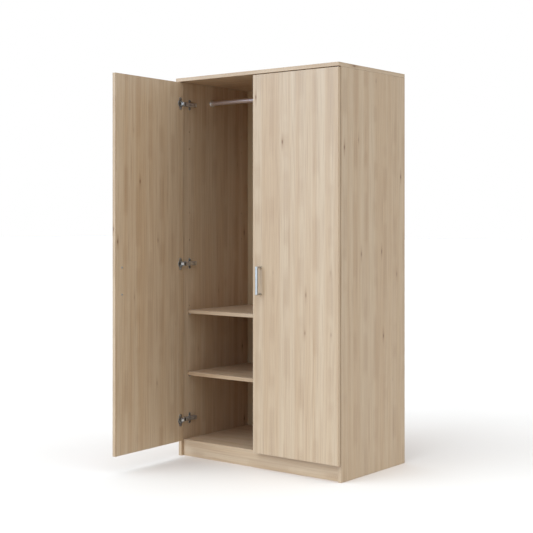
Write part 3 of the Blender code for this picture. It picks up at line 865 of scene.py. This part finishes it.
# %% Hanging rail and its cups
low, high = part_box("hanging_rail")
rail_radius = (high.z - low.z) / 2
half = (high.x - low.x) / 2
wall = 0.0012
lip = 0.0003
tube = [
    (rail_radius - wall, -half),
    (rail_radius - lip, -half),
    (rail_radius, lip - half),
    (rail_radius, half - lip),
    (rail_radius - lip, half),
    (rail_radius - wall, half),
    (rail_radius - wall, -half),
]
rail_middle = (low + high) / 2
mesh = joined("hanging_rail_tube", (lathe(tube, CHROME, 64), at(rail_middle, (1, 0, 0))))
dress(mesh.name, mesh, "carcass", "rail_chrome", "hanging_rail")

SOCKET_FLANGE = 0.003
for side, towards in (("left", 1), ("right", -1)):
    low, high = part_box("rail_socket_" + side)
    rim = (high.z - low.z) / 2
    collar = rim - 0.0028
    length = high.x - low.x
    profile = [
        (0.0, SOCKET_FLANGE),
        (rail_radius + CLEAR, SOCKET_FLANGE),
        (rail_radius + CLEAR, length - lip),
        (rail_radius + CLEAR + lip, length),
        (collar - lip, length),
        (collar, length - lip),
        (collar, SOCKET_FLANGE + 0.0008),
        (collar + 0.0008, SOCKET_FLANGE),
        (rim - 0.0012, SOCKET_FLANGE),
        (rim, SOCKET_FLANGE - 0.0012),
        (rim, 0.0),
        (0.0, 0.0),
    ]
    wall_face = low.x if side == "left" else high.x
    place = at((wall_face, rail_middle.y, rail_middle.z), (towards, 0, 0))
    mesh = joined("rail_cup_" + side, (lathe(profile, PLATED, 64), place))
    dress(mesh.name, mesh, "carcass", "rail_chrome", "rail_socket_" + side)
print("rail length", round(2 * half, 4))

# %% [markdown]
# ## Where a hung piece rests
#
# The left door stands open and the right one is shut, but they are the same door. So every hung piece
# is made once, shut and on the right, and then placed. For the left it is mirrored first. Then it is
# swung by the joints' own numbers, from where the door is shut, which is each joint's lower limit, to
# where it rests, which is zero. Two turns are needed, because a concealed hinge has two pivots: the
# link turns on the cabinet's arm, and the door turns on the link.

# %% Places for the two sides
JOINTS = {joint["name"]: joint for joint in frame["joints"]}
RATIOS = {
    pair["joint"]: pair["ratio"] for pair in frame["record"]["behaviour"]["couplings"]
}
MIRROR = Matrix.Diagonal((-1.0, 1.0, 1.0, 1.0))
HANDS = {"left": MIRROR, "right": Matrix.Identity(4)}


def swung(joint, degrees):
    """The turn of a joint by an angle, about its own axis."""
    pivot = Matrix.Translation(joint["pos_m"])
    turn = Matrix.Rotation(math.radians(degrees), 4, Vector(joint["axis"]))
    return pivot @ turn @ pivot.inverted()


def rest_places(side):
    """Takes a piece from shut and right-handed to where it rests: on the door, and on the links."""
    door_joint = JOINTS[side + "_door_swing"]
    links_joint = JOINTS[side + "_hinge_links_swing"]
    shut = door_joint["range_deg"][0]
    links_turn = swung(links_joint, shut * RATIOS[links_joint["name"]])
    door_turn = swung(door_joint, shut)
    on_links = links_turn.inverted() @ HANDS[side]
    on_door = (links_turn @ door_turn).inverted() @ HANDS[side]
    return on_door, on_links


ON_DOOR = {side: rest_places(side)[0] for side in HANDS}
ON_LINKS = {side: rest_places(side)[1] for side in HANDS}
for side, place in ON_DOOR.items():
    print(side, "door is turned by", round(math.degrees(place.to_euler().z) % 360, 2))

# %% [markdown]
# ## The doors
#
# A door is one more board, cut from its own place on the decor sheet, with three wide shallow bores for
# the hinge cups and two through holes for the handle's screws.

# %% Door boards
LEVELS = ("top", "middle", "bottom")
CUP_RADIUS = 0.0175
CUP_SPARE = 0.0003
SCREW_HOLE = 0.0024
door_low, door_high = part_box("door_right")
inner_y = door_high.y


def cup_place(level):
    """The middle of a cup on the shut right door's inner face, and how deep it goes."""
    low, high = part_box(f"hinge_{level}_right_cup")
    return Vector(((low.x + high.x) / 2, inner_y, (low.z + high.z) / 2)), inner_y - low.y


def screw_place(end):
    low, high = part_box(f"handle_screw_{end}_right")
    return Vector(((low.x + high.x) / 2, inner_y, (low.z + high.z) / 2))


door_bores = []
for level in LEVELS:
    middle, depth = cup_place(level)
    door_bores.append((middle, (0, 1, 0), CUP_RADIUS + CUP_SPARE, 2 * (depth + CUP_SPARE)))
for end in ("top", "bottom"):
    door_bores.append((screw_place(end), (0, 1, 0), SCREW_HOLE, 0.06))

for side, cut_from in (("left", (12.6, 1.1)), ("right", (10.52, 3.35))):
    drills = tool_mesh("door_drills", door_bores, steps=48)
    mesh = cut(board_mesh("door_cut", door_low, door_high, 2, cut_from), drills)
    mesh = joined("door_board_" + side, (mesh, ON_DOOR[side]))
    dress(mesh.name, mesh, side + "_door", "beech_board", "door_" + side)
    print(side, "door has", len(mesh.polygons), "faces and", len(mesh.uv_layers), "map")

# %% [markdown]
# ## The handles
#
# The handle is a bow of flat bar, bent square at both ends: one C-shaped outline, pressed as thick as
# the bar is wide. Its outer corners are bent tight, and every edge is eased so that it doesn't cut the
# hand. Two machine screws reach it through the door.

# %% Handles and their screws
low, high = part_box("handle_right")
handle_width = high.x - low.x
reach = high.y - low.y
handle_half = (high.z - low.z) / 2
handle_middle = Vector(((low.x + high.x) / 2, high.y, (low.z + high.z) / 2))
BAR = 0.008
BEND = 0.0028
FOOT = 0.0013
EASED = 0.0010
grip, inner_half = reach - BAR, handle_half - BAR
bow = rounded(
    [
        (0.0, -handle_half),
        (reach, -handle_half),
        (reach, handle_half),
        (0.0, handle_half),
        (0.0, inner_half),
        (grip, inner_half),
        (grip, -inner_half),
        (0.0, -inner_half),
    ],
    [FOOT, BEND, BEND, FOOT, FOOT, BEND / 2, BEND / 2, FOOT],
)
outwards = Matrix(((0, 0, -1, 0), (-1, 0, 0, 0), (0, 1, 0, 0), (0, 0, 0, 1)))
bow_place = Matrix.Translation(handle_middle) @ outwards
handle_shape = press(bow, handle_width, SATIN, rim=EASED, segments=4)
for side in HANDS:
    mesh = joined("bow_handle_" + side, (handle_shape, ON_DOOR[side] @ bow_place))
    dress(mesh.name, mesh, side + "_door", "handle_metal", "handle_" + side)

for side in HANDS:
    for end in ("top", "bottom"):
        low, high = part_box(f"handle_screw_{end}_right")
        middle = screw_place(end)
        head_at = middle + Vector((0, CLEAR, 0))
        shank = inner_y - low.y
        rod = [(0.0, 0.0), (0.002, 0.0), (0.002, 0.0006 - shank), (0.0014, -shank), (0.0, -shank)]
        mesh = joined(
            f"machine_screw_{end}_{side}",
            (HANDLE_HEAD, ON_DOOR[side] @ at(head_at, (0, 1, 0))),
            (lathe(rod, ZINC, 24), ON_DOOR[side] @ at(head_at, (0, 1, 0))),
        )
        dress(mesh.name, mesh, side + "_door", "hinge_steel", f"handle_screw_{end}_{side}")
print("bow handles stand out by", round(reach, 4))

# %% [markdown]
# ## The concealed hinges
#
# A concealed hinge is four pieces. The cup is a drawn steel bowl let into the door, with a flange and
# two screws. The link is an arched strip that reaches out of the bowl. The arm is a folded channel that
# holds the link's other pin, and the plate is what the arm is screwed to, itself screwed to the side.
#
# The cup first. Its bowl is turned, and its flange is pressed. The flange has the bowl's opening cut
# out of it, so that one looks right down into the bowl.

# %% Hinge cups
CUP_WALL = 0.0009
FLANGE = (0.021, 0.062)
FLANGE_SCREWS = 0.024


def cup_mesh(level, proud, depth):
    """A cup that looks along +Z, with z = 0 on the door's inner face."""
    bore = CUP_RADIUS - CUP_WALL
    bowl = [
        (0.0, CUP_WALL - depth),
        (bore - 0.002, CUP_WALL - depth),
        (bore - 0.0006, CUP_WALL - depth + 0.0006),
        (bore, CUP_WALL - depth + 0.002),
        (bore, proud - 0.0004),
        (bore + 0.0004, proud),
        (CUP_RADIUS + 0.0014, proud),
        (CUP_RADIUS + 0.002, proud - 0.0005),
        (CUP_RADIUS + 0.002, CLEAR),
        (CUP_RADIUS, CLEAR),
        (CUP_RADIUS, 0.002 - depth),
        (CUP_RADIUS - 0.002, -depth),
        (0.0, -depth),
    ]
    thickness = proud - CLEAR - 0.0001
    flange = press(rectangle(*FLANGE, 0.0085), thickness, NICKEL, rim=0.0003)
    mouth = [((0, 0, 0), (0, 0, 1), bore + 0.0008, 0.01)]
    flange = cut(flange, tool_mesh("mouth", mouth, steps=48))
    parts = [(lathe(bowl, NICKEL, 64), Matrix.Identity(4))]
    parts.append((flange, Matrix.Translation((0, 0, CLEAR + thickness / 2))))
    for way in (-1, 1):
        parts.append((SMALL_HEAD, Matrix.Translation((0, way * FLANGE_SCREWS, proud - 0.0004))))
    return joined(f"cup_{level}", *parts)


inwards = Matrix(((-1, 0, 0, 0), (0, 0, 1, 0), (0, 1, 0, 0), (0, 0, 0, 1)))
for level in LEVELS:
    middle, depth = cup_place(level)
    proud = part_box(f"hinge_{level}_right_cup")[1].y - inner_y
    shape = cup_mesh(level, proud, depth)
    for side in HANDS:
        place = ON_DOOR[side] @ Matrix.Translation(middle) @ inwards
        mesh = joined(f"hinge_cup_{level}_{side}", (shape, place))
        dress(mesh.name, mesh, side + "_door", "hinge_steel", f"hinge_{level}_{side}_cup")
print("hinge cups: 6, each", round(1000 * depth, 1), "mm deep")

# %% [markdown]
# The link is an arc of strip between the two pivots. Its arch lets it reach round the edge of the side
# board, so it bends towards the front and the middle. Both pivots are the joints' own places.

# %% Hinge links
ARCH = 0.012
STRIP = 0.0022
STRIP_WIDE = 0.012
arm_pivot = Vector(JOINTS["right_hinge_links_swing"]["pos_m"])
cup_pivot = Vector(JOINTS["right_door_swing"]["pos_m"])
link_span = (cup_pivot - arm_pivot).xy
link_length = link_span.length


def arched_strip(steps=20):
    """The strip's outline: pivot to pivot along +X, arched to +Y."""
    half_span = link_length / 2
    radius = (half_span**2 + ARCH**2) / (2 * ARCH)
    middle = Vector((half_span, ARCH - radius))
    start = math.atan2(-middle.y, -half_span)
    sweep = (math.atan2(-middle.y, half_span) - start) % math.tau - math.tau
    turns = [start + sweep * step / steps for step in range(steps + 1)]
    outline = []
    for reach_out, order in ((radius + STRIP / 2, turns), (radius - STRIP / 2, turns[::-1])):
        outline += [
            (middle.x + reach_out * math.cos(turn), middle.y + reach_out * math.sin(turn))
            for turn in order
        ]
    return outline


def link_mesh(pin_length):
    """The strip with a rolled eye and a pin at each end."""
    parts = [(press(arched_strip(), STRIP_WIDE, NICKEL, rim=0.0003), Matrix.Identity(4))]
    eye = [(0.0, 0.0058), (0.0023, 0.0058), (0.0026, 0.0055), (0.0026, -0.0055)]
    eye += [(0.0023, -0.0058), (0.0, -0.0058)]
    end = pin_length / 2
    pin = [(0.0, end), (0.0011, end), (0.0015, end - 0.0004), (0.0015, 0.0004 - end)]
    pin += [(0.0011, -end), (0.0, -end)]
    for x in (0.0, link_length):
        parts.append((lathe(eye, NICKEL, 32), Matrix.Translation((x, 0, 0))))
        parts.append((lathe(pin, ZINC, 24), Matrix.Translation((x, 0, 0))))
    return joined("link", *parts)


low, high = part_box("hinge_top_right_link")
link_shape = link_mesh(high.z - low.z)
first = link_span.normalized()
link_turn = Matrix(((first.x, first.y, 0, 0), (first.y, -first.x, 0, 0), (0, 0, -1, 0), (0, 0, 0, 1)))
for level in LEVELS:
    middle, _ = cup_place(level)
    pivot = Matrix.Translation((arm_pivot.x, arm_pivot.y, middle.z))
    for side in HANDS:
        place = ON_LINKS[side] @ pivot @ link_turn
        mesh = joined(f"hinge_link_{level}_{side}", (link_shape, place))
        body = side + "_hinge_links"
        dress(mesh.name, mesh, body, "hinge_steel", f"hinge_{level}_{side}_link")
print("links reach", round(1000 * link_length, 1), "mm from pin to pin")

# %% [markdown]
# The arm is folded from one strip into a channel, open towards the side board. Two ears at its front
# hold the link's pin. Two screws sit in slots in its back: one sets how far the door overlaps the side,
# and the other clamps the arm to its plate. Where the ears run into the channel, the two lie in one
# layer for 4 mm, and a small dark patch shows there.

# %% Hinge arms
ARM_WALL = 0.0015
EAR_LENGTH = 0.0155
CHANNEL_START = 0.0115
SLOT_ROOM = 0.0009
PIN_HOLE = 0.0018


def arm_mesh(level):
    """A right-hand arm, in its place on the shut side."""
    low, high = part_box(f"hinge_{level}_right_arm")
    wide, half = high.x - low.x, (high.z - low.z) / 2
    body_start = low.y + CHANNEL_START
    length = high.y - body_start
    channel = rounded(
        [
            (wide, -half),
            (wide, ARM_WALL - half),
            (ARM_WALL, ARM_WALL - half),
            (ARM_WALL, half - ARM_WALL),
            (wide, half - ARM_WALL),
            (wide, half),
            (0.0, half),
            (0.0, -half),
        ],
        [0.0003, 0.0003, 0.0010, 0.0010, 0.0003, 0.0003, 0.0024, 0.0024],
    )
    folded = press(channel, length, PLATED, rim=0.0003)
    middle_z = (low.z + high.z) / 2
    along_y = Matrix(((1, 0, 0, 0), (0, 0, -1, 0), (0, 1, 0, 0), (0, 0, 0, 1)))
    body_place = Matrix.Translation((low.x, (body_start + high.y) / 2, middle_z)) @ along_y
    body = joined("arm_body", (folded, body_place))
    screws = [(high.y - 0.052, 0.0030), (high.y - 0.020, 0.0040)]
    slots = [
        ((low.x, y, middle_z), (1, 0, 0), radius + SLOT_ROOM, 4 * ARM_WALL) for y, radius in screws
    ]
    body = cut(body, tool_mesh("arm_slots", slots, finish=PLATED))
    parts = [(body, Matrix.Identity(4))]
    ear_low_x, ear_high_x = low.x + 0.001, high.x - 0.0025
    ear = rounded(
        [
            (ear_low_x, low.y),
            (ear_high_x, low.y),
            (ear_high_x, low.y + EAR_LENGTH),
            (ear_low_x, low.y + EAR_LENGTH),
        ],
        [0.0042, 0.0042, 0.0006, 0.0006],
    )
    pin_hole = [((arm_pivot.x, arm_pivot.y, 0.0), (0, 0, 1), PIN_HOLE, 4 * ARM_WALL)]
    bored = press(ear, ARM_WALL, PLATED, rim=0.0003)
    bored = cut(bored, tool_mesh("ear_bore", pin_hole, finish=PLATED))
    for way in (-1, 1):
        ear_place = Matrix.Translation((0, 0, middle_z + way * (half - ARM_WALL / 2)))
        parts.append((bored, ear_place))
    for (y, _), head in zip(screws, (SMALL_HEAD, PLATE_HEAD)):
        parts.append((head, at((low.x + 0.0013, y, middle_z), (-1, 0, 0))))
    return joined("arm", *parts)


for level in LEVELS:
    shape = arm_mesh(level)
    for side, hand in HANDS.items():
        mesh = joined(f"hinge_arm_{level}_{side}", (shape, hand))
        dress(mesh.name, mesh, "carcass", "hinge_steel", f"hinge_{level}_{side}_arm")
print("hinge arms: 6")

# %% [markdown]
# The plate is a cross. Its wings lie along the line of holes in the side, each with a screw in a raised
# ring of near-black metal, which is painted shade round the screw head, and its spine carries a block
# that fills the arm's channel.

# %% Hinge plates
WING = (0.014, 0.056)
SPINE_TALL = 0.018
PLATE_THICK = 0.0025
BLOCK_TALL = 0.013
WING_SCREWS = 0.018


def plate_mesh(level):
    """A right-hand plate, in its place on the side."""
    low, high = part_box(f"hinge_{level}_right_plate")
    middle_z = (low.z + high.z) / 2
    line_y = pin_middle("upper", "front", "right").y
    wing = press(rectangle(*WING, 0.0062), PLATE_THICK, PLATED, rim=0.0006)
    spine = press(rectangle(high.y - low.y, SPINE_TALL, 0.003), PLATE_THICK - 0.0002, PLATED, 0.0005)
    upright = Matrix(((0, 0, -1, 0), (1, 0, 0, 0), (0, 1, 0, 0), (0, 0, 0, 1)))
    seat = high.x - PLATE_THICK / 2
    parts = [
        (wing, Matrix.Translation((seat, line_y, middle_z)) @ upright),
        (spine, Matrix.Translation((seat, (low.y + high.y) / 2, middle_z)) @ upright),
    ]
    block_long = high.y - low.y - 0.006
    block_deep = high.x - low.x - 0.001
    block = press(rectangle(block_long, BLOCK_TALL, 0.001), block_deep, PLATED, rim=0.0004)
    block_place = (low.x + block_deep / 2, (low.y + high.y) / 2 + 0.001, middle_z)
    parts.append((block, Matrix.Translation(block_place) @ upright))
    ring = [(0.0045, 0.0), (0.0068, 0.0), (0.0068, 0.0006), (0.0062, 0.0010), (0.0050, 0.0010)]
    ring += [(0.0045, 0.0005), (0.0045, 0.0)]
    face = high.x - PLATE_THICK
    for way in (-1, 1):
        spot = (face, line_y, middle_z + way * WING_SCREWS)
        # Each ring is painted shade: near-black metal that stands for the shadow round the screw head.
        parts.append((lathe(ring, PAINTED_SHADE_METAL, 32), at(spot, (-1, 0, 0))))
        parts.append((PLATE_HEAD, at(spot, (-1, 0, 0))))
    return joined("plate", *parts)


for level in LEVELS:
    shape = plate_mesh(level)
    for side, hand in HANDS.items():
        mesh = joined(f"hinge_plate_{level}_{side}", (shape, hand))
        dress(mesh.name, mesh, "carcass", "hinge_steel", f"hinge_{level}_{side}_plate")
print("hinge plates: 6")

# %% [markdown]
# ## Floor and light
#
# The studio is a pale floor that runs into a white wall with no line between them. The floor is as broad
# as the eye can see, so that it ends at the horizon and nowhere else. It doesn't send its own light back
# up at the wardrobe. The dome below it does that job, so that the two can be balanced by themselves.

# %% Floor
FLOOR_HALF = 60.0
FLOOR_DROP = 0.0004
shape = bmesh.new()
bmesh.ops.create_grid(shape, x_segments=8, y_segments=8, size=FLOOR_HALF)
bmesh.ops.translate(shape, verts=shape.verts, vec=(0, 0, -FLOOR_DROP))
mesh = bpy.data.meshes.new("studio_floor")
shape.to_mesh(mesh)
shape.free()
material, wiring, shader = new_finish("floor_paint", colour(233, 210, 184), 0.7)
place = wiring.place("TexCoord").outputs["Object"]
mottle = wiring.place("TexNoise", {"Vector": place, "Scale": 1.5, "Detail": 4.0}).outputs[0]
wiring.feed(shader.inputs["Roughness"], wiring.ramp(mottle, 0.3, 0.7, 0.6, 0.8))
shader.inputs["Specular IOR Level"].default_value = 0.1
mesh.materials.append(material)
floor = bpy.data.objects.new("studio_floor", mesh)
floor.visible_diffuse = False
bpy.context.scene.collection.objects.link(floor)
floor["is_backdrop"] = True

# %% [markdown]
# A dome of light needs no lamps: its brightness depends only on the direction, and it doesn't fade with
# distance, so the floor stays evenly white right out to the horizon. It is an even glow above and one
# below, with three soft patches laid over them. Each patch is a cosine raised to a power, and a higher
# power makes a smaller patch. The first is overhead, the second is a big lamp on the left of the camera
# that shines into the cabinet, and the third fills the shaded side from the right.

# %% Dome of light
DAYLIGHT = Vector((0.795, 1.03, 1.35))
GLOW_ABOVE = 0.322 * Vector((1.14, 0.95, 0.86))
GLOW_BELOW = 1.05 * Vector((1.07, 0.99, 0.89))
PATCHES = (
    # direction, power, brightness and tint
    ((0.0, -0.15, 1.0), 3.0, 2.20 * Vector((0.99, 0.98, 1.02))),
    ((-0.4, -0.95, 0.5), 6.0, 3.60 * Vector((0.93, 1.03, 1.13))),
    ((1.0, 0.35, 0.3), 4.0, 1.05 * Vector((1.01, 1.03, 0.97))),
)
world = bpy.data.worlds.new("studio_dome")
bpy.context.scene.world = world
world.use_nodes = True
world.node_tree.nodes.clear()
dome = Wiring(world.node_tree)
direction = dome.place("TexCoord").outputs["Generated"]
height = dome.place("SeparateXYZ", {0: direction}).outputs[2]
above = dome.math("GREATER_THAN", height, 0.0)


def tinted(amount, tint):
    """An amount of light in a tint, under the tint of the whole studio."""
    light = Vector([part * day for part, day in zip(tint, DAYLIGHT)])
    return dome.place("VectorMath", {0: light, "Scale": amount}, operation="SCALE").outputs[0]


def added(first, second):
    return dome.place("VectorMath", {0: first, 1: second}, operation="ADD").outputs[0]


glow = added(
    tinted(above, GLOW_ABOVE), tinted(dome.math("SUBTRACT", 1.0, above), GLOW_BELOW)
)
for towards, power, tint in PATCHES:
    aim = Vector(towards).normalized()
    facing = dome.place("VectorMath", {0: direction, 1: aim}, operation="DOT_PRODUCT")
    facing = dome.math("MAXIMUM", facing.outputs["Value"], 0.0)
    patch_light = dome.math("MULTIPLY", dome.math("POWER", facing, power), above)
    glow = added(glow, tinted(patch_light, tint))
light = dome.place("Background", {"Color": glow, "Strength": 1.0})
backdrop = dome.place("Background", {"Color": (1.0, 1.0, 1.0, 1.0), "Strength": 1.0})
seen = dome.place("LightPath").outputs["Is Camera Ray"]
both = dome.place("MixShader", {0: seen, 1: light.outputs[0], 2: backdrop.outputs[0]})
dome.tree.links.new(both.outputs[0], dome.place("OutputWorld").inputs["Surface"])
print("dome:", len(PATCHES), "patches of light over an even glow")

# %% [markdown]
# ## How much the size has grown
#
# The dressed wardrobe has to be as big as the working model. The last line prints how much the dressed
# box has grown over the working model's box.

# %% Measure how much the box has grown
visual_low, visual_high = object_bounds()
grown = [round(1000 * part, 2) for part in (visual_high - visual_low) - (cad_high - cad_low)]
print("grown by", grown, "mm")
